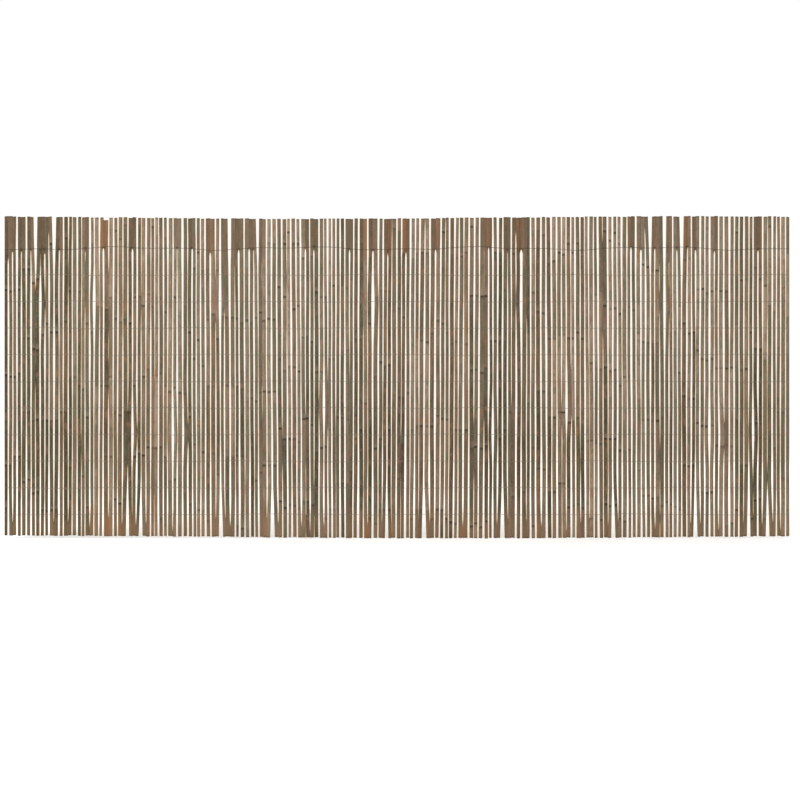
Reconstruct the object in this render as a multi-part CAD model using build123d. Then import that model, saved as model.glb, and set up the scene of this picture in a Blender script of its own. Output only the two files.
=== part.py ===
from build123d import *
import math
import os
from bisect import bisect_right
from random import Random

# Bamboo screen, unrolled: split slats standing side by side, bound by rows of steel wire.
# X runs along the screen, Y through its thickness with the slats' skin at -Y, and Z up the slats.
# The origin is in the middle of the screen's foot. All sizes are in millimetres.

# The whole screen
SCREEN_LENGTH = 3060.0    # between the outer edges of the two end slats
SLAT_LENGTH = 1250.0      # the length that the slats are cut to
FOOT_WAVE = 5.0           # how far the line of the slats' feet swings up and down
HEAD_WAVE = 5.0           # the same for the line of their heads
CUT_SCATTER = 3.0         # how far one slat's end stands off that line

# One slat, which is a strip split from a thin culm
SLAT_WIDTH = 13.1         # mean width
WIDTH_VARIATION = 0.22    # the share by which the widest and narrowest slats differ from it
SLAT_THICKNESS = 5.0      # from the crown of the skin to the flat back
EDGE_THICKNESS = 2.7      # at the split edges
CROWN_SHARE = 0.36        # the share of the width that lies at full thickness
NODE_RISE = 0.9           # height of a culm node's ridge above the skin
NODE_BACK_RISE = 0.4      # height of the ridge that the node leaves on the back
NODE_LENGTH = 11.0        # length of a culm node along the slat
NODE_SCATTER = 4.0        # how far the nodes of slats from one culm differ in height
NODE_CHANCE = 0.5         # share of the culms whose slats keep a ridge at a node
CULM_SLATS = 4            # the most slats that one culm gives

# How the slats stand
SLAT_GAP = 5.1            # mean gap between two slats
TOUCH_GAP = 0.3           # gap left where two slats touch
GAP_SHARES = (0.5, 1.0, 1.55)   # least, likeliest and greatest gap, as shares of the mean
LEAN_WAVE = 3.0           # how far the slats' heads swing along the screen, together
LEAN_SCATTER = 1.6        # how far the head of one slat stands off that
CROOKED_CHANCE = 0.28     # share of the slats that are crooked at mid-height
CROOKED_SHARE = 0.35      # the most of the free gap beside it that a crooked slat takes

# The binding wires
WIRE_ROWS = 11
WIRE_DIAMETER = 0.9
WIRE_CLEARANCE = 0.15     # between a wire and the slats that it holds
WIRE_ABOVE_FOOT = 94.0    # height of the lowest row
WIRE_BELOW_HEAD = 119.0   # distance of the highest row from the nominal head
WIRE_SIDES = 6

# Strips left in one piece near their heads or feet, where the split stops: shares of the length
UNSPLIT_HEADS = (
    0.008, 0.021, 0.053, 0.067, 0.104, 0.124, 0.162, 0.218, 0.241, 0.264, 0.277, 0.297, 0.311, 0.329,
    0.384, 0.396, 0.439, 0.468, 0.487, 0.51, 0.546, 0.615, 0.638, 0.655, 0.796, 0.813, 0.827, 0.846,
    0.858, 0.883, 0.905, 0.96,
)
UNSPLIT_FEET = (
    0.011, 0.061, 0.081, 0.11, 0.132, 0.165, 0.18, 0.212, 0.29, 0.35, 0.376, 0.389, 0.408, 0.438,
    0.462, 0.495, 0.584, 0.625, 0.648, 0.662, 0.685, 0.714, 0.733, 0.746, 0.771, 0.831, 0.909, 0.941,
    0.956, 0.99,
)
UNSPLIT_ROWS = (-0.1, 0.05, 0.05, 0.3, 0.6)   # where the split has closed, in rows past the outer wire
SPLIT_TAPER = 24.0        # length over which the split narrows

# Places where two neighbours have parted: share of the screen's length, row of wire at the widest point
PARTED = (
    (0.165, 3), (0.212, 3), (0.225, 3), (0.407, 4), (0.621, 3), (0.716, 4), (0.897, 3), (0.909, 3),
    (0.955, 3), (0.046, 8), (0.116, 8), (0.277, 8), (0.467, 8), (0.656, 8), (0.843, 8),
)
PARTED_ROWS_SHORT = 1.15  # rows from the widest point to the near end of a parted place
PARTED_ROWS_LONG = 1.85   # the same towards mid-height, where the neighbours straighten more slowly
CROOKED_ROW = 6           # row of wire at mid-height, clear of the parted places

# Wedge-shaped gaps, widest at the heads or feet: share of the length, rows that the wedge reaches in
SPREAD_HEADS = (
    (0.04, 1.7), (0.06, 1.3), (0.284, 1.6), (0.323, 1.0), (0.662, 1.5), (0.82, 1.2), (0.84, 1.7),
    (0.864, 1.3),
)
SPREAD_FEET = (
    (0.157, 1.6), (0.172, 1.7), (0.278, 1.2), (0.344, 1.3), (0.487, 1.6), (0.534, 1.2), (0.633, 1.4),
    (0.776, 1.3), (0.88, 1.0), (0.949, 1.7), (0.969, 1.2),
)

SHORT_SLAT = (0.133, 12.0)      # share of the length, and how far the head of the slat there falls short

SLAT_GROUPS = 42          # neighbouring slats are written as this many groups
SEED = 8

last_row = WIRE_ROWS - 1
wire_pitch = (SLAT_LENGTH - WIRE_ABOVE_FOOT - WIRE_BELOW_HEAD) / last_row
slat_count = round((SCREEN_LENGTH + SLAT_GAP) / (SLAT_WIDTH + SLAT_GAP))
top = SLAT_LENGTH + HEAD_WAVE + CUT_SCATTER    # no slat reaches higher


def chance_for(purpose):
    """A source of chance for one purpose, so that one more slat leaves the others as they were."""
    return Random(f"{purpose} {SEED}")


def wire_height(row):
    """Height of a row of wire. Row 0 is the lowest, and parts of a row lie between two wires."""
    return WIRE_ABOVE_FOOT + row * wire_pitch


def between(points, z):
    """Value at z on the straight runs between (z, value) points, and 0 outside them."""
    heights = [height for height, _ in points]
    if not heights[0] < z < heights[-1]:
        return dict(points).get(z, 0.0)
    above = bisect_right(heights, z)
    (z0, value0), (z1, value1) = points[above - 1], points[above]
    return value0 + (value1 - value0) * (z - z0) / (z1 - z0)


class Slat:
    """A slat's width, ends, node and line: straight, with bends, and edges that grow to a neighbour."""

    def __init__(self, width, middle, lean, foot, head, node):
        self.width = width
        self.middle = middle    # x at mid-height
        self.lean = lean        # how far the head is to the side of that
        self.foot = foot
        self.head = head
        self.node = node
        self.bends = []
        self.left_growth = []
        self.right_growth = []

    def centre(self, z):
        """X of the centre line of the split strip at a height."""
        straight = self.middle + self.lean * (2 * z / top - 1)
        return straight + sum(between(bend, z) for bend in self.bends)

    def left(self, z):
        return self.centre(z) - self.width / 2 - sum(between(growth, z) for growth in self.left_growth)

    def right(self, z):
        return self.centre(z) + self.width / 2 + sum(between(growth, z) for growth in self.right_growth)

    def levels(self):
        """Heights of the cross-sections: the ends, the bends and the start, ridge and end of the node."""
        lines = self.bends + self.left_growth + self.right_growth
        heights = {z for line in lines for z, _ in line if self.foot < z < self.head}
        if self.node is not None:
            heights |= {self.node - NODE_LENGTH / 2, self.node, self.node + NODE_LENGTH / 2}
        return sorted(heights | {self.foot, self.head})


def slat_widths():
    chance = chance_for("widths")
    return [SLAT_WIDTH * (1 + chance.uniform(-WIDTH_VARIATION, WIDTH_VARIATION)) for _ in range(slat_count)]


def slat_gaps(widths):
    """Gaps between neighbours, which fill the screen's length."""
    least, likeliest, greatest = GAP_SHARES
    chance = chance_for("gaps")
    shares = [chance.triangular(least, greatest, likeliest) for _ in widths[1:]]
    room = SCREEN_LENGTH - sum(widths) - TOUCH_GAP * len(shares)
    return [TOUCH_GAP + room * share / sum(shares) for share in shares]


def slat_centres(widths, gaps):
    """Centres of the slats at mid-height, from one end of the screen."""
    edge = -SCREEN_LENGTH / 2
    centres = []
    for width, gap in zip(widths, gaps + [0.0]):
        centres.append(edge + width / 2)
        edge += width + gap
    return centres


def slat_leans(gaps):
    """How far each head stands to the side of mid-height. No slat leans on the one before it."""
    chance = chance_for("leans")
    leans = [0.0]
    for i, gap in enumerate(gaps, start=1):
        along = i / (slat_count - 1)
        wave = LEAN_WAVE * math.sin(math.tau * 2.3 * along)
        lean = (wave + chance.uniform(-LEAN_SCATTER, LEAN_SCATTER)) * math.sin(math.pi * along)
        room = gap - TOUCH_GAP
        leans.append(min(max(lean, leans[-1] - room), leans[-1] + room))
    return leans


def slat_ends():
    """Heights of the feet and heads: two slow waves along the screen, with a scatter from the cutting."""
    chance = chance_for("ends")
    feet = []
    heads = []
    for i in range(slat_count):
        along = i / slat_count
        foot_wave = FOOT_WAVE * math.cos(math.tau * 0.86 * along)
        head_wave = HEAD_WAVE * math.cos(math.tau * 1.05 * (along - 0.87))
        feet.append(foot_wave + chance.uniform(0, CUT_SCATTER))
        heads.append(SLAT_LENGTH + head_wave + chance.uniform(0, CUT_SCATTER))
    share, missing = SHORT_SLAT
    heads[round(share * (slat_count - 1))] -= missing
    lowest = min(feet)
    return [foot - lowest for foot in feet], heads


def slat_nodes():
    """Height of each slat's node, or None. Slats side by side come from one culm, so their nodes line up."""
    chance = chance_for("nodes")
    nodes = []
    while len(nodes) < slat_count:
        bay = chance.randrange(1, last_row - 1)
        culm_node = wire_height(bay + chance.uniform(0.3, 0.7))
        ridged = chance.random() < NODE_CHANCE
        for _ in range(chance.randint(1, CULM_SLATS)):
            node = culm_node + chance.uniform(-NODE_SCATTER, NODE_SCATTER)
            nodes.append(node if ridged else None)
    return nodes[:slat_count]


def gap_at(slats, share, z):
    """Number of the slat to the left of the gap that is nearest to a share of the screen's length."""
    x = SCREEN_LENGTH * (share - 0.5)
    return min(range(slat_count - 1), key=lambda i: abs(slats[i].right(z) + slats[i + 1].left(z) - 2 * x))


def crook_some_slats(slats):
    """Slats picked by chance are crooked at mid-height, into a part of the gap to one neighbour."""
    chance = chance_for("crooked")
    widest = wire_height(CROOKED_ROW)
    for before, slat, after in zip(slats, slats[1:], slats[2:]):
        share = chance.uniform(-CROOKED_SHARE, CROOKED_SHARE)
        if chance.random() < CROOKED_CHANCE:
            left_room = slat.middle - before.middle - (slat.width + before.width) / 2 - TOUCH_GAP
            right_room = after.middle - slat.middle - (slat.width + after.width) / 2 - TOUCH_GAP
            move = share * (right_room if share > 0 else left_room)
            slat.bends.append([(0.0, 0.0), (widest, move), (top, 0.0)])


def part_neighbours(slats, share, widest, ends):
    """Two neighbours bend apart, most at one height, until they rest against the slats outside them."""
    i = min(max(gap_at(slats, share, widest), 1), slat_count - 3)
    outer_left, left, right, outer_right = slats[i - 1:i + 3]
    moves = (
        (left, outer_left.right(widest) + TOUCH_GAP - left.left(widest)),
        (right, outer_right.left(widest) - TOUCH_GAP - right.right(widest)),
    )
    for slat, move in moves:
        slat.bends.append(sorted([(widest, move)] + [(z, 0.0) for z in ends]))


def part_some_neighbours(slats):
    """The parted places between the wires, and the wedges at the feet and heads."""
    for share, row in PARTED:
        low = row < last_row / 2
        below = row - (PARTED_ROWS_SHORT if low else PARTED_ROWS_LONG)
        above = row + (PARTED_ROWS_LONG if low else PARTED_ROWS_SHORT)
        part_neighbours(slats, share, wire_height(row), (wire_height(below), wire_height(above)))
    for share, rows in SPREAD_FEET:
        part_neighbours(slats, share, 0.0, (wire_height(rows),))
    for share, rows in SPREAD_HEADS:
        part_neighbours(slats, share, top, (wire_height(last_row - rows),))


def leave_unsplit(slats, shares, outermost_row, outwards, end):
    """Strips left in one piece near their ends: from where the split has closed, their edges meet."""
    chance = chance_for(f"unsplit {outwards}")
    for i in sorted({gap_at(slats, share, end) for share in shares}):
        left, right = slats[i], slats[i + 1]
        closed = wire_height(outermost_row + outwards * chance.choice(UNSPLIT_ROWS))
        growth = [(z, (right.left(z) - left.right(z) - TOUCH_GAP) / 2) for z in (closed, end)]
        growth = sorted(growth + [(closed - outwards * SPLIT_TAPER, 0.0)])
        left.right_growth.append(growth)
        right.left_growth.append(growth)


def lay_out_slats():
    """All the slats of the screen, from its left end to its right end."""
    widths = slat_widths()
    gaps = slat_gaps(widths)
    rows = zip(widths, slat_centres(widths, gaps), slat_leans(gaps), *slat_ends(), slat_nodes())
    slats = [Slat(*row) for row in rows]
    crook_some_slats(slats)
    part_some_neighbours(slats)
    leave_unsplit(slats, UNSPLIT_FEET, 0, -1, 0.0)
    leave_unsplit(slats, UNSPLIT_HEADS, last_row, 1, top)
    return slats


def slat_section(slat, z):
    """Corners of a slat's cross-section: a flat back, two split edges and a skin that rises to a crown."""
    at_node = z == slat.node
    back = SLAT_THICKNESS / 2 + (NODE_BACK_RISE if at_node else 0.0)
    crown = -SLAT_THICKNESS / 2 - (NODE_RISE if at_node else 0.0)
    edge = crown + SLAT_THICKNESS - EDGE_THICKNESS
    left = slat.left(z)
    right = slat.right(z)
    slope = slat.width * (1 - CROWN_SHARE) / 2
    behind = [(left, back), (right, back)]
    skin = [(right, edge), (right - slope, crown), (left + slope, crown), (left, edge)]
    return [Vector(x, y, z) for x, y in behind + skin]


def faces_between(lower, upper):
    """Flat faces that join the corners of one section to those of the next."""
    rings = [[lower[k - 1], lower[k], upper[k], upper[k - 1]] for k in range(len(lower))]
    return [Face(Wire.make_polygon(ring, close=True)) for ring in rings]


def slat_solid(slat):
    """A slat joined up from its cross-sections and closed by its two cut ends."""
    sections = [slat_section(slat, z) for z in slat.levels()]
    faces = [Face(Wire.make_polygon(end, close=True)) for end in (sections[0], sections[-1])]
    for lower, upper in zip(sections, sections[1:]):
        faces += faces_between(lower, upper)
    return Solid(Shell(faces))


def binding_wire(height):
    """A wire that runs along the front of the slats, round the end slat and back behind them."""
    off_face = WIRE_CLEARANCE + WIRE_DIAMETER / 2
    side = SLAT_THICKNESS / 2 + off_face
    end = SCREEN_LENGTH / 2 + off_face
    turns = [math.tau * k / WIRE_SIDES for k in range(WIRE_SIDES)]
    rim = [(WIRE_DIAMETER / 2 * math.cos(turn), WIRE_DIAMETER / 2 * math.sin(turn)) for turn in turns]
    mitres = [
        [Vector(sx * (end + out), sy * (side + out), height + up) for out, up in rim]
        for sx, sy in ((1, -1), (1, 1), (-1, 1), (-1, -1))
    ]
    faces = []
    for k in range(len(mitres)):
        faces += faces_between(mitres[k - 1], mitres[k])
    return Solid(Shell(faces))


def write_part(name, shape):
    export_step(shape, os.path.join("parts", name + ".step"))


def main():
    os.makedirs("parts", exist_ok=True)
    slats = lay_out_slats()
    for group in range(SLAT_GROUPS):
        first = group * slat_count // SLAT_GROUPS
        after = (group + 1) * slat_count // SLAT_GROUPS
        solids = [slat_solid(slat) for slat in slats[first:after]]
        write_part(f"slats_{group + 1:02d}", Compound(solids))
    for row in range(WIRE_ROWS):
        write_part(f"binding_wire_{row + 1:02d}", binding_wire(wire_height(row)))
    lowest = min(slats, key=lambda slat: slat.foot)
    middle = (lowest.left(lowest.foot) + lowest.right(lowest.foot)) / 2
    print(f"{slat_count} slats, wires {wire_pitch:.1f} mm apart")
    print(f"the lowest slat stands at x {middle:.2f}")


main()
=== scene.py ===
# %% [markdown]
# # A bamboo screen, unrolled
# The screen is a row of split bamboo slats, bound side by side by eleven rows of thin wire. It can be rolled
# up, but here it stands unrolled. The CAD solids already hold the place, width and bend of every slat, so
# they could be shown as they are. They are six-sided strips, though, and real slats are rounded, ridged and
# streaked. So each solid is measured here, and a finer surface is worked out over the same line.

# %% Load the frame
import math

import bmesh
import bpy
import numpy as np
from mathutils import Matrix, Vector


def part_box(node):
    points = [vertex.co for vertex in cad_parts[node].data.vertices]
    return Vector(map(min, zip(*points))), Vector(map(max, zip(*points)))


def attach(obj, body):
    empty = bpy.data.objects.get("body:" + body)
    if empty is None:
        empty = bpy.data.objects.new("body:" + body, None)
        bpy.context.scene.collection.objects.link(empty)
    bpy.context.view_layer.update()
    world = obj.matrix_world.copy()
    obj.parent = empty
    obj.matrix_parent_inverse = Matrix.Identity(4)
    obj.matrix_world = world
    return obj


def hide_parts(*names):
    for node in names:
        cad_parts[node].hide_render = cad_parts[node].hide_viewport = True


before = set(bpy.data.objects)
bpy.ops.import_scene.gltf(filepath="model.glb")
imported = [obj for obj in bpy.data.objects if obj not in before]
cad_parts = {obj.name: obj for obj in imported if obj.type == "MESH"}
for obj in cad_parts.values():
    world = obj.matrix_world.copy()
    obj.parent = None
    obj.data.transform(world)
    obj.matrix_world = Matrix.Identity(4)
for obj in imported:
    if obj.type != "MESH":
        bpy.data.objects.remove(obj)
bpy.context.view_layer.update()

slat_nodes = sorted(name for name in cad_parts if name.startswith("slats"))
wire_nodes = sorted(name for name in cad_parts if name.startswith("binding_wire"))
print("frame:", len(slat_nodes), "groups of slats,", len(wire_nodes), "rows of wire")

# %% [markdown]
# ## Measuring the slats
# A group of slats is one mesh of loose triangles. To find the slats in it, the doubled corners of a copy are
# merged, and the copy falls into loose parts. Blender could separate them as objects, but only a few numbers
# are wanted: at each height where a slat has corners, its left edge, its right edge and its front. Arrays
# give those at once, with the corners sorted by height and cut where the height jumps.

# %% Find the loose parts
MERGE_WITHIN = 1e-5


def merged(mesh):
    """Points and triangles of a copy of a CAD mesh whose doubled corners are merged."""
    work = bmesh.new()
    work.from_mesh(mesh)
    bmesh.ops.remove_doubles(work, verts=work.verts, dist=MERGE_WITHIN)
    bmesh.ops.triangulate(work, faces=work.faces)
    copy = bpy.data.meshes.new("merged")
    work.to_mesh(copy)
    work.free()
    points = np.empty(3 * len(copy.vertices))
    copy.vertices.foreach_get("co", points)
    corners = np.empty(3 * len(copy.polygons), int)
    copy.polygons.foreach_get("vertices", corners)
    bpy.data.meshes.remove(copy)
    return points.reshape(-1, 3), corners.reshape(-1, 3)


def loose_parts(count, triangles):
    """A label for each point: every triangle hands its lowest label to its corners until none changes."""
    label = np.arange(count)
    before = label - 1
    while not np.array_equal(label, before):
        before = label.copy()
        lowest = np.broadcast_to(label[triangles].min(axis=1, keepdims=True), triangles.shape)
        np.minimum.at(label, triangles, lowest)
    return label


points, triangles = merged(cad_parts[slat_nodes[0]].data)
print("first group:", len(np.unique(loose_parts(len(points), triangles))), "slats")

# %% Measure the slats
SECTION_JUMP = 2e-4


def outline_of(points):
    """Left edge, right edge and front at each height: a new section starts where the height jumps."""
    x, y, z = points[np.argsort(points[:, 2])].T
    start = np.flatnonzero(np.diff(z, prepend=-1.0) > SECTION_JUMP)
    return {
        "height": np.maximum.reduceat(z, start),
        "left": np.minimum.reduceat(x, start),
        "right": np.maximum.reduceat(x, start),
        "front": np.minimum.reduceat(y, start),
    }


def strips_of(name):
    """The numbers of the slats in one group."""
    return [number for number, slat in enumerate(slats) if slat["piece"] == name]


slats = []
for name in slat_nodes:
    points, triangles = merged(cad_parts[name].data)
    label = loose_parts(len(points), triangles)
    slats += [{"piece": name, **outline_of(points[label == part])} for part in np.unique(label)]
slats.sort(key=lambda slat: slat["left"].mean())
wire_rows = np.array([(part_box(name)[0].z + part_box(name)[1].z) / 2 for name in wire_nodes])
print("measured", len(slats), "slats and wire rows at", np.round(wire_rows, 3).tolist())

# %% [markdown]
# ## The line of a slat
# A slat between two wires bends in an easy curve, while the solid has a kink at each section. A subdivision
# surface would round the kinks, but it would also pull touching slats apart. Averaging the measured line over
# a short length rounds it just as well, and neighbours overlap by no more than 0.3 mm, because both are
# averaged over the same heights. The slits, drawn further on, clear that away. All slats are read at the same
# levels, so one array holds every edge.

# %% Ease the edges
LEVELS = np.arange(-0.02, 1.28, 0.002)
MIDDLE = np.interp(LEVELS, [0.14, 0.2, 1.05, 1.11], [0.0, 1.0, 1.0, 0.0])
RUN_ON = 0.1
END_REACH, MORE_IN_MIDDLE = 0.005, 0.025


def eased(slat, edge):
    """The measured edge at each level, run on past both ends, and averaged over the levels near it.

    The average reaches 5 mm up and down near the ends, and 30 mm in the middle.
    """
    height, value = slat["height"], slat[edge]
    foot = value[0] - RUN_ON * (value[1] - value[0]) / (height[1] - height[0])
    head = value[-1] + RUN_ON * (value[-1] - value[-2]) / (height[-1] - height[-2])
    height = np.concatenate([[height[0] - RUN_ON], height, [height[-1] + RUN_ON]])
    value = np.concatenate([[foot], value, [head]])
    window = (END_REACH + MORE_IN_MIDDLE * MIDDLE)[:, None] * np.linspace(-1, 1, 9)
    return np.interp(LEVELS[:, None] + window, height, value).mean(axis=1)


def gaps_between(left, right):
    """The left edge of each slat but the first, less the right edge of the slat before it."""
    return left[1:] - right[:-1]


left_edges, right_edges = (np.array([eased(slat, edge) for slat in slats]) for edge in ("left", "right"))
gaps = gaps_between(left_edges, right_edges)
print("gaps in mm: narrowest", round(1000 * gaps.min(), 2), "widest", round(1000 * gaps.max(), 2))

# %% [markdown]
# ## Small leanings
# No slat is quite straight. Where the gap between two bent slats is very wide, both lean into it, and every
# slat wanders a little in the room that it has. Each slat could be bent by hand with a lattice, but with every
# edge in one array it is a sum: half of what a gap loses goes to the slat on each side of it, and two waves
# are added, held to a fifth of the narrower gap beside the slat. The end slats don't wander, so the width
# stays.

# %% Lean the slats
WIDE_GAP, TAKEN_UP = 0.007, 0.45
ROOM_SHARE = 0.2
rng = np.random.default_rng(21)

narrowed = TAKEN_UP * np.clip(gaps - WIDE_GAP, 0, None) * MIDDLE
lean = (np.pad(narrowed, ((0, 1), (0, 0))) - np.pad(narrowed, ((1, 0), (0, 0)))) / 2
left_edges, right_edges = left_edges + lean, right_edges + lean
gaps = gaps_between(left_edges, right_edges)
gap_after, gap_before = (np.pad(gaps, (ends, (0, 0)), "edge") for ends in ((0, 1), (1, 0)))
room = ROOM_SHARE * np.minimum(gap_after, gap_before)
phase = rng.uniform(0, 2 * np.pi, (2, len(slats), 1))
long_wave = 0.0008 * np.sin(LEVELS / 0.17 + phase[0])
short_wave = 0.0004 * np.sin(LEVELS / 0.06 + phase[1])
wander = np.clip(long_wave + short_wave, -room, room)
wander[[0, -1]] = 0
left_edges, right_edges = left_edges + wander, right_edges + wander
gaps = gaps_between(left_edges, right_edges)
print("slats wander up to", round(1000 * np.abs(wander).max(), 2), "mm")

# %% [markdown]
# ## Wires that sway
# A binding wire is pulled tight slat by slat, so its row is not quite level, and the top row least of all. The
# rows could be drawn by hand as curves. Three waves of different lengths, with their starts left to chance,
# give each row a line of its own, and the slits in the next step can ask for its height at any place.

# %% Sway of the wires
SWAY = np.where(np.arange(len(wire_rows)) < len(wire_rows) - 1, 0.0016, 0.0046)
waves = rng.uniform(0, 2 * np.pi, (len(wire_rows), 3))


def wire_height(row, x):
    """The height of a row of wire at x: its level plus a long, a shorter and a very short wave."""
    wave = np.sin(x / 0.11 + waves[row, 0]) + 0.6 * np.sin(x / 0.045 + waves[row, 1])
    return wire_rows[row] + SWAY[row] * wave + 0.0004 * np.sin(x / 0.023 + waves[row, 2])


print("sway in mm: most rows", round(1000 * SWAY[0], 1), "and the top row", round(1000 * SWAY[-1], 1))

# %% [markdown]
# ## Unsplit ends
# A strip that was left unsplit at its head is one wide piece down to the top wire, and there its slit ends in
# a round tip. At an unsplit foot the slit runs on for 2 to 7 cm below the lowest wire and closes slowly. The
# solids have a plain wedge in both places. A cutter with a round end could shape the tip, but the edges are
# only lines over the height, so the gap is multiplied by a square root that starts at the tip: it rises
# steeply and then levels off, which draws an arch. At the foot a longer and flatter power draws the wedge.
# Every slit is also trimmed by up to 2 mm, most of all about 35 cm up, and joined strips are let into each
# other by a tenth of a millimetre, so that no light shows between them.

# %% Slit tips
FOOT_LEVEL, HEAD_LEVEL = 0.03, 1.215
SHUT_GAP = 0.001
LOWEST_TIP, HIGHEST_TIP = [-0.07, -0.009], [-0.02, 0.003]
FIRST_TIP_DROP = 0.03
FAR_ABOVE = 3.0
NO_TIP = np.array([[-1.0, FAR_ABOVE]])

# Columns are foot and head. The first two slats are joined at the head as well, with a slit that ends lower.
shut = gaps[:, np.searchsorted(LEVELS, [FOOT_LEVEL, HEAD_LEVEL])] < SHUT_GAP
shut[0, 1] = True
between = (left_edges[1:] + right_edges[:-1]).mean(axis=1) / 2
tips = np.stack([wire_height(0, between), wire_height(-1, between)], axis=1)
tips = np.where(shut, tips + rng.uniform(LOWEST_TIP, HIGHEST_TIP, tips.shape), NO_TIP)
tips[0, 1] -= FIRST_TIP_DROP
print("unsplit feet and heads:", shut.sum(axis=0).tolist())

# %% Draw the slits
WEDGE_LENGTH, ARCH_LENGTH = 0.11, 0.016
ARCH_FROM, ARCH_FULL_AFTER = 0.0016, 0.0022
FOOT_OPEN = 0.18
OVERLAP = 0.0001

wedge = np.clip((LEVELS - tips[:, :1]) / WEDGE_LENGTH, 0, 1)
wide_enough = np.clip((gaps - ARCH_FROM) / ARCH_FULL_AFTER, 0, 1)
arch = np.sqrt(np.clip((tips[:, 1:] - LEVELS) / ARCH_LENGTH, 0, 1) * wide_enough)
spared_at_foot = 0.0005 * np.exp(-((LEVELS / 0.06) ** 2))
more_low_down = 0.0007 * np.exp(-(((LEVELS - 0.35) / 0.22) ** 2))
trim = 0.0005 - spared_at_foot + 0.0008 * MIDDLE + more_low_down
drawn_gaps = np.clip(gaps - trim, 0, None) * wedge**0.7 * arch
opened = drawn_gaps[:, [np.searchsorted(LEVELS, FOOT_OPEN)]] * wedge**0.6
at_foot = shut[:, :1] & (LEVELS < FOOT_OPEN)
drawn_gaps = np.where(at_foot, np.maximum(drawn_gaps, opened), drawn_gaps)
drawn_gaps -= OVERLAP * (drawn_gaps == 0)
left_edges[1:] -= (gaps - drawn_gaps) / 2
right_edges[:-1] += (gaps - drawn_gaps) / 2
print("slits trimmed by up to", round(1000 * trim.max(), 1), "mm")

# %% Joined neighbours
BELOW_TIP, OPEN_SLIT = 0.015, 0.0005
JOINED_GAP, JOINED_SLOPE = 0.0011, 0.001

below = np.array([np.interp(tip - BELOW_TIP, LEVELS, gap) for tip, gap in zip(tips[:, 1], drawn_gaps)])
crotches = np.where(below > OPEN_SLIT, tips[:, 1], FAR_ABOVE)
crotches = np.pad(crotches, 1, constant_values=FAR_ABOVE)
tips = np.concatenate([NO_TIP, tips, NO_TIP])
closed = np.pad(np.clip((JOINED_GAP - drawn_gaps) / JOINED_SLOPE, 0, 1), ((1, 1), (0, 0)))
print("slits with a round tip:", int((crotches < FAR_ABOVE).sum()))

# %% [markdown]
# ## Culm nodes
# A culm is hollow and closed by a wall at each node, where the skin swells into a ring. Strips split from one
# culm lie side by side in the screen, so their nodes stand at nearly the same height. Where the solid has a
# ridge, the first node goes there, and the others follow a culm's length apart. A node under a wire would
# push the wire out, so a node that falls there moves clear of it.

# %% Place the nodes
CULM_LENGTH = (0.25, 0.37)
FIRST_NODE = (0.1, 0.5)
CLEAR_OF_WIRE, CLEAR_OF_END = 0.017, 0.03
RIDGE_STANDS = 4e-4


def node_heights(number, first, length):
    """Heights a culm's length apart through the first one, off unsplit and cut ends and clear of each wire."""
    height = first + length * np.arange(-6, 7) * rng.uniform(0.97, 1.03, 13)
    low = max(slats[number]["height"][0], tips[number, 0], tips[number + 1, 0])
    high = min(slats[number]["height"][-1], tips[number, 1], tips[number + 1, 1])
    height = height[(height > low + CLEAR_OF_END) & (height < high - CLEAR_OF_END)]
    row = wire_rows[np.abs(height[:, None] - wire_rows).argmin(axis=1)]
    away = height - row
    return np.where(np.abs(away) < CLEAR_OF_WIRE, row + np.copysign(CLEAR_OF_WIRE, away), height)


for name in slat_nodes:
    first, length = rng.uniform(*FIRST_NODE), rng.uniform(*CULM_LENGTH)
    hue, bold = rng.uniform(), rng.uniform(0, 0.6)
    for number in strips_of(name):
        slat = slats[number]
        ridge = slat["front"].argmin()
        has_ridge = slat["front"][ridge] < slat["front"].max() - RIDGE_STANDS
        own = slat["height"][ridge] if has_ridge else first + rng.normal(0, 0.006)
        slat["nodes"] = node_heights(number, own, length)
        slat["hue"] = np.clip(0.35 * hue + 0.65 * rng.uniform(), 0, 1)
        slat["tone"] = rng.uniform()
        slat["bold"] = np.clip(bold + rng.uniform(-0.2, 0.7, len(slat["nodes"])), 0.1, 1)
print("nodes on all slats:", sum(len(slat["nodes"]) for slat in slats))

# %% [markdown]
# ## Tone along the screen
# A screen is bound from one bundle of culms after another, so its tone changes slowly along its length, and
# its left end is darker and more olive. Uneven light could show that, but it would change with every view. A
# slow wave and a bell about the left end, added to each slat's own tone and hue, stay on the screen.

# %% Tone along the screen
WAVE_HEIGHT, WAVE_LENGTH, WAVE_SHIFT = 0.13, 1.85, 0.8
LEFT_END, LEFT_REACH = slats[0]["left"].mean(), 0.3
LEFT_DARKER, LEFT_GREENER = 0.6, 0.25

for slat in slats:
    along = slat["left"].mean()
    slow = WAVE_HEIGHT * np.cos(2 * np.pi * (along + WAVE_SHIFT) / WAVE_LENGTH)
    at_left = np.exp(-(((along - LEFT_END) / LEFT_REACH) ** 2))
    slat["tone"] += slow - LEFT_DARKER * at_left
    slat["hue"] -= LEFT_GREENER * at_left
tones = [slat["tone"] for slat in slats]
print("tones from", round(min(tones), 2), "to", round(max(tones), 2))

# %% [markdown]
# ## The surface of a slat
# A split slat has a D-shaped section: the round skin in front, two split edges, and a back that is a little
# hollow where the inside of the culm was. A bevelled curve could carry such a profile, but it couldn't carry
# the ridge at a node or the changing width. So the slat is a grid of points: one parameter runs round the
# section and the other runs up the slat, with more rings where a node is.

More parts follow.
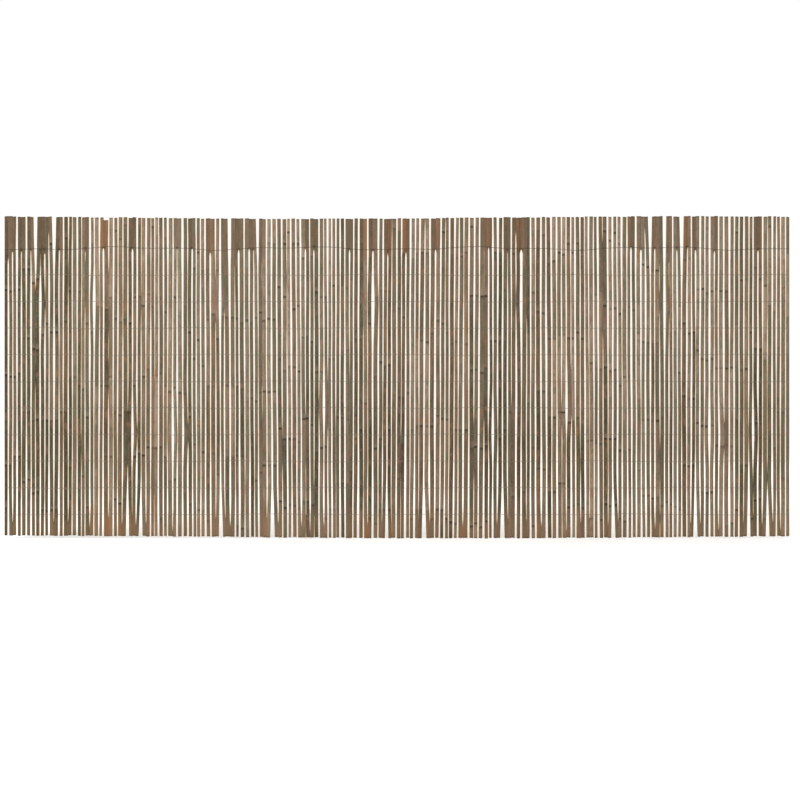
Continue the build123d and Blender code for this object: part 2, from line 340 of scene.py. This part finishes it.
# %% Section of a slat
EDGE_FRONT, CROWN = -0.0002, 0.0023
BACK_FACE, HOLLOW, BACK_CORNER = 0.0025, 0.0003, 0.0019
ARC = np.linspace(-np.pi / 2, np.pi / 2, 9)
BACK = np.array([1.0, 0.93, 0.5, 0.0, -0.5, -0.93, -1.0])
ACROSS = np.concatenate([np.sin(ARC), BACK])
SKIN_SHARE = np.concatenate([np.cos(ARC), np.zeros(len(BACK))])
BACK_SHARE = np.concatenate([np.zeros(len(ARC)), [0.5, 1, 1, 1, 1, 1, 0.5]])
DEPTH = np.concatenate([EDGE_FRONT - CROWN * np.cos(ARC), BACK_FACE - HOLLOW * (1 - BACK**2)])
DEPTH[[len(ARC), -1]] = BACK_CORNER
AROUND = len(ACROSS)
print("section of", AROUND, "points,", round(1000 * (DEPTH.max() - DEPTH.min()), 1), "mm thick")

# %% Rings of a slat
EVEN_RINGS = 34
NODE_RINGS = np.array([-9, -5, -2.5, -1, 0.5, 2, 4, 6, 9]) / 1000
WIRE_RINGS = np.linspace(-0.022, 0.022, 10)[:, None]
OFF_ENDS, CLOSEST_RINGS = 0.004, 6e-4
WORN_EDGE = 0.0008


def ring_heights(slat):
    """Even steps up the slat and close rings about each node, the lowest wire and the highest wire.

    At both ends, one more ring stands just inside the cut for its worn edge.
    """
    foot, head = slat["height"][[0, -1]]
    by_nodes = (slat["nodes"][:, None] + NODE_RINGS).ravel()
    by_wires = (wire_rows[[0, -1]] + WIRE_RINGS).ravel()
    inner = np.concatenate([np.linspace(foot, head, EVEN_RINGS), by_nodes, by_wires])
    inner = np.sort(inner[(inner > foot + OFF_ENDS) & (inner < head - OFF_ENDS)])
    inner = inner[np.diff(inner, prepend=0) > CLOSEST_RINGS]
    return np.concatenate([[foot, foot + WORN_EDGE], inner, [head - WORN_EDGE, head]])


print("rings on the first slat:", len(ring_heights(slats[0])))

# %% Bells and edges
EDGE_SLOPE = 1.4
CROTCH_WIDTH = 0.004


def node_bells(slat, z, middle, width, strength=1.0):
    """A bell over the distance to each node, in millimetres, about a middle above it, added up."""
    away = (z[:, None] - slat["nodes"]) * 1000
    return (strength * np.exp(-(((away - middle) / width) ** 2))).sum(axis=1)


def towards_edges(before, after):
    """Two values over the height, the first towards the left edge, the second towards the right edge."""
    leftwards, rightwards = (np.clip(slope * ACROSS, 0, 1) for slope in (-EDGE_SLOPE, EDGE_SLOPE))
    return before[:, None] * leftwards + after[:, None] * rightwards


def joined_side(number, z):
    """1 towards an edge that lies against a neighbour, over height and section, and 0 elsewhere."""
    return towards_edges(*(np.interp(z, LEVELS, closed[which]) for which in (number, number + 1)))


def crotch_shade(number, z):
    """A bell of painted shade about the upper tip of each slit beside a slat, on the side of the slit."""
    away = ((z - crotches[which]) / CROTCH_WIDTH for which in (number, number + 1))
    return towards_edges(*(np.exp(-(distance**2)) for distance in away))


joined_rings = joined_side(0, ring_heights(slats[0])).max(axis=1) > 0.5
print("first slat joined to its neighbour at", int(joined_rings.sum()), "rings")

# %% Shape a slat
NARROWED_END, THINNED_END = 0.95, 0.93
JOINED_SKIN = -0.0022
UNEVEN_CUT = 0.0008


def slat_surface(number, z):
    """Points over height and section: the middle line plus half the width, with a ring at each node.

    The ring is a bell over the distance to the node, with a shallow groove above it. The first and last ring
    are drawn in by a worn edge, and where a strip was left unsplit its skin runs on level to the neighbour.
    """
    slat = slats[number]
    left, right = (np.interp(z, LEVELS, edges[number]) for edges in (left_edges, right_edges))
    half = (right - left) / 2
    half[[0, -1]] *= NARROWED_END
    ring = 0.0008 * node_bells(slat, z, 0, 2.6) - 0.0003 * node_bells(slat, z, 5, 2)
    thick = np.ones(len(z))
    thick[[0, -1]] = THINNED_END
    x = ((left + right) / 2)[:, None] + half[:, None] * ACROSS
    level = np.where(np.arange(AROUND) < len(ARC), joined_side(number, z), 0)
    y = thick[:, None] * (DEPTH + level * (JOINED_SKIN - DEPTH))
    y = y - ring[:, None] * (SKIN_SHARE**0.5 - 0.5 * BACK_SHARE)
    skew = np.zeros((len(z), AROUND))
    skew[0] = UNEVEN_CUT * (1 + np.sin(3 * ACROSS + 30 * slat["tone"])) / 2
    skew[-1] = -UNEVEN_CUT * (1 + np.sin(2 * ACROSS + 50 * slat["hue"])) / 2
    return np.stack([x, y, z[:, None] + skew], axis=-1)


sample = slat_surface(0, ring_heights(slats[0]))
print("first slat:", sample.shape[0], "rings of", sample.shape[1], "points")

# %% [markdown]
# ## Marks that follow the slat
# The finish needs to know more than the place of a point: which slat it is on, how near a node, a cut end or a
# joined neighbour is, and whether it is on the skin, an edge or the back. A UV map would hold two such
# numbers. Four vector attributes on the mesh hold twelve, and they bend with the slat.

# %% Mark a slat
MOST_LENGTHS, CULM_SEEDS = 8, 500
GRAIN_APART, GRAIN_RAISED = 0.11, 3.7


def slat_marks(number, z, surface):
    """Four attributes over height and section.

    grain: place across, through and along the slat in metres, moved apart from slat to slat.
    tone: the slat's own tone, its hue, and how far it is joined to a neighbour.
    node: the dark line at a node and the painted shade at a slit tip, the pale band above a node, and mm from
    the nearer cut end.
    skin: 1 at the crown, falling to 0 at a split edge, and -1 behind; the tone of this length between two
    nodes, in part the slat's own and in part shared by the strips of one culm; and the height.
    """
    slat = slats[number]
    middle = np.interp(z, LEVELS, (left_edges[number] + right_edges[number]) / 2)
    over = np.ones((len(z), AROUND))
    joint = np.searchsorted(slat["nodes"], z)
    seeds = (number, slat_nodes.index(slat["piece"]) + CULM_SEEDS)
    own, culm = (np.random.default_rng(seed).uniform(-1, 1, MOST_LENGTHS) for seed in seeds)
    length_tone = (0.5 * own + 0.7 * culm)[joint]
    joined = np.interp(z, LEVELS, np.maximum(closed[number], closed[number + 1]))
    end = np.minimum(z - slat["height"][0], slat["height"][-1] - z) * 1000
    front = np.clip(np.maximum(SKIN_SHARE, joined_side(number, z)), 0, 1)
    side = front * (BACK_SHARE == 0) - BACK_SHARE
    # The dark line at each node, and painted shade at each slit tip, whichever is stronger.
    dark = np.maximum(node_bells(slat, z, 0.5, 4.4, slat["bold"])[:, None], 0.8 * crotch_shade(number, z))
    pale = node_bells(slat, z, 7.5, 3.0, slat["bold"])
    across = surface[..., 0] - middle[:, None] + GRAIN_APART * number
    along = surface[..., 2] + GRAIN_RAISED * slat["tone"]
    return {
        "grain": np.stack([across, surface[..., 1], along], axis=-1),
        "tone": np.stack([slat["tone"] * over, slat["hue"] * over, joined[:, None] * over], axis=-1),
        "node": np.stack([dark, pale[:, None] * over, end[:, None] * over], axis=-1),
        "skin": np.stack([side, length_tone[:, None] * over, surface[..., 2]], axis=-1),
    }


sheets = slat_marks(0, ring_heights(slats[0]), sample)
print("attributes:", {name: sheet.shape for name, sheet in sheets.items()})

# %% [markdown]
# ## Building the slats
# Each group of slats becomes one piece that stands for its CAD solids. They could be joined from separate
# objects, but it is simpler to put the grids end to end, close each cut end with one face and store the marks
# beside the points. Smooth shading is kept off the corners by marking edges sharp where two faces meet at a
# steep angle.


# %% Mesh from arrays
def grid_faces(rings, around, first):
    """Four corners for each cell of a closed strip of rings, numbered from first, facing outwards."""
    ring, point = np.meshgrid(np.arange(rings - 1), np.arange(around), indexing="ij")
    here = first + ring * around + point
    beside = first + ring * around + (point + 1) % around
    return np.stack([here, beside, beside + around, here + around], axis=-1).reshape(-1, 4)


def piece_from(name, points, faces, attributes, sharp):
    """A mesh object at the origin from an array of points, lists of faces and vectors on the points."""
    mesh = bpy.data.meshes.new(name)
    mesh.from_pydata(points, [], faces)
    for key, vectors in attributes.items():
        layer = mesh.attributes.new(key, "FLOAT_VECTOR", "POINT")
        layer.data.foreach_set("vector", np.ascontiguousarray(vectors, np.float32).ravel())
    mesh.polygons.foreach_set("use_smooth", np.ones(len(mesh.polygons), bool))
    mesh.set_sharp_from_angle(angle=math.radians(sharp))
    piece = bpy.data.objects.new(name, mesh)
    bpy.context.scene.collection.objects.link(piece)
    return piece


print("faces round the first slat:", len(grid_faces(len(sample), AROUND, 0)))

# %% Build the slats
slat_pieces = []
for name in slat_nodes:
    grids, faces, marks, first = [], [], [], 0
    for number in strips_of(name):
        z = ring_heights(slats[number])
        surface = slat_surface(number, z)
        last = first + (len(z) - 1) * AROUND
        faces += grid_faces(len(z), AROUND, first).tolist()
        faces += [list(range(first + AROUND - 1, first - 1, -1)), list(range(last, last + AROUND))]
        marks.append(slat_marks(number, z, surface))
        grids.append(surface.reshape(-1, 3))
        first = last + AROUND
    vectors = {key: np.concatenate([m[key].reshape(-1, 3) for m in marks]) for key in marks[0]}
    piece = piece_from("bamboo_" + name, np.concatenate(grids), faces, vectors, sharp=42)
    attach(piece, "root")
    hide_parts(name)
    slat_pieces.append(piece)
print("slat pieces:", len(slat_pieces), "with", sum(len(p.data.polygons) for p in slat_pieces), "faces")

# %% [markdown]
# ## The path of a binding wire
# Each row is one wire laid double. One strand passes in front of a slat and the other behind it, and between
# two slats they cross and change places, always with the same twist. Where two slats touch there is no room to
# cross, so the pair is bound as one. At the end slats the wire turns back. A braid could be made by hand from
# curves, but the path follows from the measured edges, so it is worked out for the whole row at once.

# %% One strand
ROOM_TO_CROSS = 0.0013
WIRE_DEPTH, CROSS_RISE = 0.0031, 0.0005
FRONT = np.array([[-0.95, -0.0015], [-0.6, -0.0027], [0.0, -WIRE_DEPTH], [0.6, -0.0027], [0.95, -0.0015]])
BEHIND = np.stack([np.linspace(-1, 1, 5), np.full(5, WIRE_DEPTH)], axis=1)


def strand(left, right, side):
    """Knots of one strand from left to right: five over each slat, and one in the gap after it.

    side is -1 where the strand is in front. In a gap where the side changes, the strand crosses the middle,
    half a millimetre up on its way back and half a millimetre down on its way forward.
    """
    template = np.where(side[:, None, None] < 0, FRONT, BEHIND)
    middle, half = (left + right) / 2, (right - left) / 2
    knots = np.zeros((len(side), 6, 3))
    knots[:, :5, 0] = middle[:, None] + half[:, None] * template[..., 0]
    knots[:, :5, 1] = template[..., 1]
    after = np.append(side[1:], side[-1])
    knots[:-1, 5, 0] = (right[:-1] + left[1:]) / 2
    knots[:, 5, 1] = np.where(after == side, side * WIRE_DEPTH, 0)
    knots[:, 5, 2] = np.where(after == side, 0, -CROSS_RISE * side)
    return knots.reshape(-1, 3)[:-1]


print("knots over a slat:", len(FRONT), "in front and", len(BEHIND), "behind")

# %% Lay out a wire
TURN = np.array([[0.0006, -0.0006, 0], [0.0006, 0.0010, 0], [0.0005, 0.0026, 0]])


def wire_path(row):
    """The closed path of one row: a strand to the right, the turn, the other strand back, the turn."""
    height = wire_height(row, (left_edges + right_edges).mean(axis=1) / 2)
    left, right = (
        np.array([np.interp(level, LEVELS, edge) for level, edge in zip(height, edges)])
        for edges in (left_edges, right_edges)
    )
    crosses = np.append(1, np.where(gaps_between(left, right) > ROOM_TO_CROSS, -1, 1))
    side = np.cumprod(crosses) * (-1) ** row
    at_right = (TURN if side[-1] < 0 else TURN[::-1]) + [right[-1], 0, 0]
    at_left = (TURN if side[0] > 0 else TURN[::-1]) * [-1, 1, 1] + [left[0], 0, 0]
    there, back = strand(left, right, side), strand(left, right, -side)[::-1]
    path = np.concatenate([there, at_right, back, at_left])
    path[:, 2] += wire_height(row, path[:, 0])
    return path


path = wire_path(0)
length = np.linalg.norm(np.diff(path, axis=0), axis=1).sum()
print("lowest wire:", len(path), "knots,", round(length, 2), "m long")

# %% [markdown]
# ## Drawing the wire
# A curve object with a bevel would give the same tube, but its mesh would be hard to keep small. The path lies
# almost flat, so upright and the level direction square to the path make a frame at every knot, and a small
# pentagon carried round it closes on itself without a seam. Where the strands cross they are twisted together,
# so the tube is thicker at that knot, most of all in the top row.

# %% Draw the wires
WIRE_RADIUS = 0.00045
TWIST, TOP_TWIST = 1.2, 1.6
SIDES = 5
PENTAGON = 2 * np.pi * np.arange(SIDES) / SIDES


def wire_surface(path, twist):
    """Points round a closed path: the path plus a circle, larger by a twist where two strands cross."""
    along = np.roll(path, -1, axis=0) - np.roll(path, 1, axis=0)
    sideways = np.cross(along, [0, 0, 1])
    sideways /= np.linalg.norm(sideways, axis=1, keepdims=True)
    upright = np.cross(sideways, along)
    upright /= np.linalg.norm(upright, axis=1, keepdims=True)
    circle = np.cos(PENTAGON)[:, None] * sideways[:, None] + np.sin(PENTAGON)[:, None] * upright[:, None]
    radius = WIRE_RADIUS * np.where(path[:, 1] == 0, twist, 1.0)
    return path[:, None] + radius[:, None, None] * circle


wire_pieces = []
for row, name in enumerate(wire_nodes):
    surface = wire_surface(wire_path(row), TWIST if row < len(wire_nodes) - 1 else TOP_TWIST)
    count = len(surface)
    faces = grid_faces(count + 1, SIDES, 0) % (count * SIDES)
    piece = piece_from("wire_" + name[-2:], surface.reshape(-1, 3), faces.tolist(), {}, sharp=60)
    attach(piece, "root")
    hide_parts(name)
    wire_pieces.append(piece)
print("wire pieces:", len(wire_pieces), "with", sum(len(p.data.polygons) for p in wire_pieces), "faces")

# %% [markdown]
# ## Writing a finish as arithmetic
# A finish is a graph of nodes, and most of its nodes only add, multiply or compare. Drawn by hand they are
# slow to read. A small class that wraps a socket lets the same graph be written as a sum or a product, and one
# method adds every other kind of node.


# %% Wrap a socket
class Field:
    """One output of a node. Arithmetic on it adds Math nodes; node() adds any other kind."""

    def __init__(self, tree, socket=None):
        self.tree, self.socket = tree, socket

    def node(self, kind, settings=None, inputs=None, output=0):
        """Adds a node: its settings first, with a ramp's stops among them, then its inputs."""
        made = self.tree.nodes.new("ShaderNode" + kind)
        for name, value in (settings or {}).items():
            if name == "stops":
                ramp = made.color_ramp.elements
                while len(ramp) < len(value):
                    ramp.new(1.0)
                for element, (place, colour) in zip(ramp, value):
                    element.position, element.color = place, (*colour, 1)
            else:
                setattr(made, name, value)
        for name, value in (inputs or {}).items():
            if isinstance(value, Field):
                self.tree.links.new(value.socket, made.inputs[name])
            else:
                made.inputs[name].default_value = value
        return Field(self.tree, made.outputs[output])

    def maths(self, operation, first, second=0.0):
        """Adds one Math node."""
        return self.node("Math", {"operation": operation}, {0: first, 1: second})

    def __add__(self, other):
        return self.maths("ADD", self, other)

    def __radd__(self, other):
        return self.maths("ADD", other, self)

    def __sub__(self, other):
        return self.maths("SUBTRACT", self, other)

    def __rsub__(self, other):
        return self.maths("SUBTRACT", other, self)

    def __mul__(self, other):
        return self.maths("MULTIPLY", self, other)

    def __rmul__(self, other):
        return self.maths("MULTIPLY", other, self)

    def __truediv__(self, other):
        return self.maths("DIVIDE", self, other)

    def within(self, low=0.0, high=1.0):
        """The value kept between low and high."""
        return self.maths("MINIMUM", self.maths("MAXIMUM", self, low), high)

    def bell(self, middle, width):
        """1 at the middle, falling to nothing a few widths away."""
        away = (self - middle) / width
        return self.maths("POWER", 2.718, 0.0 - away * away)

    def step(self, low, high):
        """0 below low, 1 above high, and an eased slope between them."""
        limits = {"Value": self, "From Min": low, "From Max": high}
        return self.node("MapRange", {"interpolation_type": "SMOOTHSTEP"}, limits)

    def part(self, axis):
        """One component of a vector."""
        return self.node("SeparateXYZ", None, {0: self}, axis)

    def parts(self):
        """The three components of a vector."""
        return (self.part(axis) for axis in range(3))

    def scaled(self, x, y, z):
        """A vector multiplied component by component."""
        return self.node("VectorMath", {"operation": "MULTIPLY"}, {0: self, 1: (x, y, z)})

    def noise(self, detail=3.0, roughness=0.55):
        """Soft noise at this place, about 0 to 1."""
        grain = {"Vector": self, "Scale": 1.0, "Detail": detail, "Roughness": roughness}
        return self.node("TexNoise", None, grain)

    def ramp(self, *stops):
        """The colour that a row of stops has at this value."""
        return self.node("ValToRGB", {"stops": stops}, {"Fac": self})

    def tinted(self, colour, share):
        """This colour mixed towards another by a share. The sockets are numbered, because names repeat."""
        settings = {"data_type": "RGBA", "clamp_factor": True}
        return self.node("Mix", settings, {0: share, 6: self, 7: colour}, 2)


print("a Field can be:", [name for name in vars(Field) if not name.startswith("_")])


# %% Start a finish
def colour_of(red, green, blue):
    """A colour given as it looks on a screen, 0 to 255, as the linear light that a shader works in."""
    value = np.array([red, green, blue]) / 255
    return tuple(np.where(value <= 0.04045, value / 12.92, ((value + 0.055) / 1.055) ** 2.4).tolist())


def new_finish(name):
    """An empty material, its shader node, and a Field to build from."""
    material = bpy.data.materials.new(name)
    material.use_nodes = True
    tree = material.node_tree
    shader = next(node for node in tree.nodes if node.type == "BSDF_PRINCIPLED")
    return material, shader, Field(tree)


def feed(material, shader, inputs):
    """Links each Field to the shader's input of that name."""
    for name, value in inputs.items():
        material.node_tree.links.new(value.socket, shader.inputs[name])


print("a mid brown in linear light:", np.round(colour_of(129, 114, 94), 3).tolist())

# %% [markdown]
# ## Weathered bamboo
# Old split bamboo is grey-brown, and no two slats are alike: some are olive, some are reddish, and each culm
# length between two nodes has its own tone. Long fibres streak it, with ochre patches here and there. A node
# has a dark line with a pale band above it, cut ends are darker, and near the ends of joined strips the damp
# leaves a rusty stain. Shade is painted in too: a dark mark at the upper tip of each slit, and darker flanks,
# partly grime and partly painted shade where the round skin turns away from the light. The split edges are a
# pale cream and the back is pale. All of it could be painted on an image, but noise stretched along the slat
# gives fibres at any distance, and the stored marks put the rest in its place.

# %% Bamboo patterns
LIGHT = np.array([0.59, 0.585, 0.59])


def bamboo_colour(red, green, blue):
    """A colour as it looks on the lit screen, taken down to the share that the slat itself sends back."""
    return tuple((LIGHT * colour_of(red, green, blue)).tolist())


bamboo, shader, field = new_finish("weathered bamboo")
grain, tone, node, skin = (
    field.node("Attribute", {"attribute_name": name}, None, 1) for name in ("grain", "tone", "node", "skin")
)
slat_tone, slat_hue, joined = tone.parts()
node_line_and_tip_shade, pale_band, from_end = node.parts()
side, length_tone, height = skin.parts()
streaks = grain.scaled(520, 520, 7).noise(4.0, 0.6)
fibres = grain.scaled(2300, 2300, 26).noise(3.0, 0.6)
halves = grain.scaled(150, 150, 2.2).noise(2.0, 0.5)
weather = grain.scaled(45, 45, 13).noise(3.0, 0.5)
spots = grain.scaled(260, 260, 90).noise(2.0, 0.5)
blush = grain.scaled(30, 30, 17).noise(3.0, 0.6)
print("bamboo patterns:", len(bamboo.node_tree.nodes), "nodes")

# %% Olive and russet
patches = 0.75 * (weather - 0.5) + 0.65 * (streaks - 0.5) + 0.5 * (halves - 0.5) + 0.5 * (spots - 0.5)
damp = height.bell(0.36, 0.2)
level = (0.25 + 0.55 * slat_tone + 0.2 * length_tone + patches - 0.17 * damp).within()
olive = level.ramp(
    (0.0, bamboo_colour(84, 77, 58)),
    (0.3, bamboo_colour(110, 101, 80)),
    (0.6, bamboo_colour(130, 119, 98)),
    (1.0, bamboo_colour(166, 154, 133)),
)
russet = level.ramp(
    (0.0, bamboo_colour(90, 70, 53)),
    (0.3, bamboo_colour(119, 97, 77)),
    (0.6, bamboo_colour(142, 119, 98)),
    (1.0, bamboo_colour(176, 154, 132)),
)
hue = slat_hue + 0.3 * length_tone
hue = hue + 0.8 * (halves - 0.5) + 0.6 * (spots - 0.5) + 0.5 * (weather - 0.5)
wood = olive.tinted(russet, hue.step(0.2, 0.85))
print("olive and russet:", len(bamboo.node_tree.nodes), "nodes")

# %% Stains, marks and painted shade
low = 1 - height.step(0.05, 0.14)
near_end = 1 - from_end.step(110.0, 190.0)
rusty = near_end * joined * (halves + slat_hue).step(1.22, 1.42)
stains = {
    "rosy skin": ((146, 108, 94), 0.5 * blush.step(0.54, 0.64)),
    "mossy skin": ((108, 110, 84), 0.5 * (1 - blush).step(0.54, 0.64)),
    "ochre patch": ((158, 122, 66), 0.5 * (0.5 * blush + 0.5 * halves).step(0.57, 0.65)),
    "stained foot": ((156, 116, 80), 0.5 * low * halves.step(0.42, 0.58)),
    "joined head": ((114, 92, 72), 0.42 * near_end * (1 - low) * joined),
    "joined foot": ((146, 120, 95), 0.4 * near_end * low * joined),
    "rusty stain": ((164, 112, 68), 0.6 * rusty),
    "pale band": ((180, 166, 142), 0.35 * pale_band),
    # A real dark line at a node, and painted shade at the upper tip of a slit.
    "dark line": ((46, 38, 28), 0.95 * node_line_and_tip_shade * spots.step(0.25, 0.5)),
    "cut end": ((84, 68, 50), 0.5 * (1 - from_end.step(0.0, 9.0))),
    # Darker flanks: painted shade where the round skin turns away from the light, with some grime.
    "flank shade and grime": ((74, 62, 48), 0.45 * (1 - side.step(0.25, 0.95))),
}
for seen, share in stains.values():
    wood = wood.tinted((*bamboo_colour(*seen), 1), share)
print("stains, in order:", list(stains))

# %% Split edges and back
edge = 1 - (1.6 * side.maths("ABSOLUTE", side)).within()
wood = wood.tinted((*colour_of(246, 216, 156), 1), edge * (0.5 + 0.9 * streaks).within())
behind = (0.0 - side).within()
inside = wood.tinted((*bamboo_colour(198, 178, 144), 1), (0.1 + 0.8 * slat_tone).within())
colour = wood.tinted(inside, behind * (0.4 + 0.6 * fibres).within())
print("bamboo colours:", len(bamboo.node_tree.nodes), "nodes")

# %% Bamboo sheen and fibres
rough = 0.5 + 0.22 * streaks + 0.18 * behind + 0.1 * edge
grooves = 0.6 * streaks + 0.55 * fibres
relief = grooves.node("Bump", None, {"Strength": 0.45, "Distance": 0.0005, "Height": grooves})
feed(bamboo, shader, {"Base Color": colour, "Roughness": rough, "Normal": relief})
shader.inputs["Specular IOR Level"].default_value = 0.05
for piece in slat_pieces:
    piece.data.materials.append(bamboo)
print("weathered bamboo on", len(slat_pieces), "pieces")

# %% [markdown]
# ## Dull binding wire
# The wire is galvanised and has hung outdoors: grey, dull and brown where the zinc is gone. The top row is
# painted nearly black all along, partly rust and partly painted shade. Plain metal with one roughness would
# shine like new. Two noises, one broad and one fine, mix rust into the zinc and roughen it.

# %% Wire finish
wire, shader, field = new_finish("dull zinc wire")
place = field.node("TexCoord", None, None, 3)
broad, fine = place.scaled(60, 60, 60).noise(2.0), place.scaled(900, 900, 900).noise(2.0)
rust = (0.6 * broad + 0.6 * fine - 0.3).step(0.3, 0.5)
top_row_rust_and_shade = place.part(2).step(1.09, 1.11)
zinc = fine.ramp((0.3, colour_of(118, 110, 98)), (0.7, colour_of(158, 150, 136)))
# Nearly black on the top row: part rust, part painted shade.
zinc = zinc.tinted((*colour_of(40, 33, 26), 1), 0.95 * top_row_rust_and_shade)
zinc = zinc.tinted((*colour_of(112, 92, 70), 1), 0.7 * rust)
feed(wire, shader, {"Base Color": zinc, "Metallic": 0.75 - 0.5 * rust, "Roughness": 0.45 + 0.25 * rust})
for piece in wire_pieces:
    piece.data.materials.append(wire)
print("dull zinc on", len(wire_pieces), "pieces")

# %% [markdown]
# ## Floor and light
# The screen is seen against plain white. A wall behind it would block the view from the back, so the floor is
# a wide pale disc that gives a little light itself, and the world is white all round. That alone lights the
# screen softly and evenly. A large lamp in front on the left gives the rounded slats a lighter and a darker
# side, and a weaker one behind on the right does the same for the backs.

# %% Floor
FLOOR_RADIUS, FLOOR_SIDES = 60, 96
angle = np.linspace(0, 2 * np.pi, FLOOR_SIDES, endpoint=False)
rim = np.stack([FLOOR_RADIUS * np.cos(angle), FLOOR_RADIUS * np.sin(angle), np.zeros(FLOOR_SIDES)], axis=-1)
floor = piece_from("floor", rim, [list(range(FLOOR_SIDES))], {}, sharp=30)
pale, shader, field = new_finish("pale floor")
speckle = field.node("TexCoord", None, None, 3).scaled(3, 3, 3).noise()
feed(pale, shader, {"Base Color": speckle.ramp((0.3, (0.86, 0.86, 0.86)), (0.7, (0.9, 0.9, 0.9)))})
shader.inputs["Roughness"].default_value = 0.9
shader.inputs["Specular IOR Level"].default_value = 0.0
shader.inputs["Emission Color"].default_value = (1, 1, 1, 1)
shader.inputs["Emission Strength"].default_value = 0.12
floor.data.materials.append(pale)
print("floor of", 2 * FLOOR_RADIUS, "m across")

# %% Light
world = bpy.data.worlds.new("white room")
world.use_nodes = True
world.node_tree.nodes["Background"].inputs["Color"].default_value = (1, 1, 1, 1)
world.node_tree.nodes["Background"].inputs["Strength"].default_value = 1.0
bpy.context.scene.world = world
bpy.context.scene.view_settings.view_transform = "Standard"


def soft_lamp(name, place, aim, size, power):
    """A square area light at a place, turned to face a point."""
    lamp = bpy.data.objects.new(name, bpy.data.lights.new(name, "AREA"))
    lamp.data.size, lamp.data.energy = size, power
    lamp.location = place
    way = np.array(aim) - np.array(place)
    lamp.rotation_euler = (math.acos(-way[2] / np.linalg.norm(way)), 0, math.atan2(-way[0], way[1]))
    bpy.context.scene.collection.objects.link(lamp)


soft_lamp("key lamp", place=(-4.5, -5.5, 4.5), aim=(0, 0, 0.6), size=3.0, power=420)
soft_lamp("far lamp", place=(5.0, 6.0, 4.0), aim=(0, 0, 0.6), size=3.0, power=120)
print("white world and two lamps")

# %% [markdown]
# ## Camera
# The screen is seen square on, so the camera looks level along the depth of the screen. A 65 mm lens fills the
# frame with it from under six metres away, so the slats at both ends are seen a little from the side. A longer
# lens further off would show all gaps alike. The camera's height puts the screen a little above the middle of
# the frame.

# %% Camera
FRAME_WIDTH = 3.119
LENS, SENSOR = 65, 36
CAMERA_RIGHT, CAMERA_UP = 0.012, 0.54
view = bpy.data.cameras.new("camera")
view.lens, view.sensor_width, view.clip_end = LENS, SENSOR, 400
camera = bpy.data.objects.new("camera", view)
camera.location = (CAMERA_RIGHT, -FRAME_WIDTH * LENS / SENSOR, CAMERA_UP)
camera.rotation_euler = (math.pi / 2, 0, 0)
bpy.context.scene.collection.objects.link(camera)
bpy.context.scene.camera = camera
print("camera", round(-camera.location.y, 2), "m in front of the screen")

# %% [markdown]
# ## The size
# The finer surfaces should fill the same space as the solids.
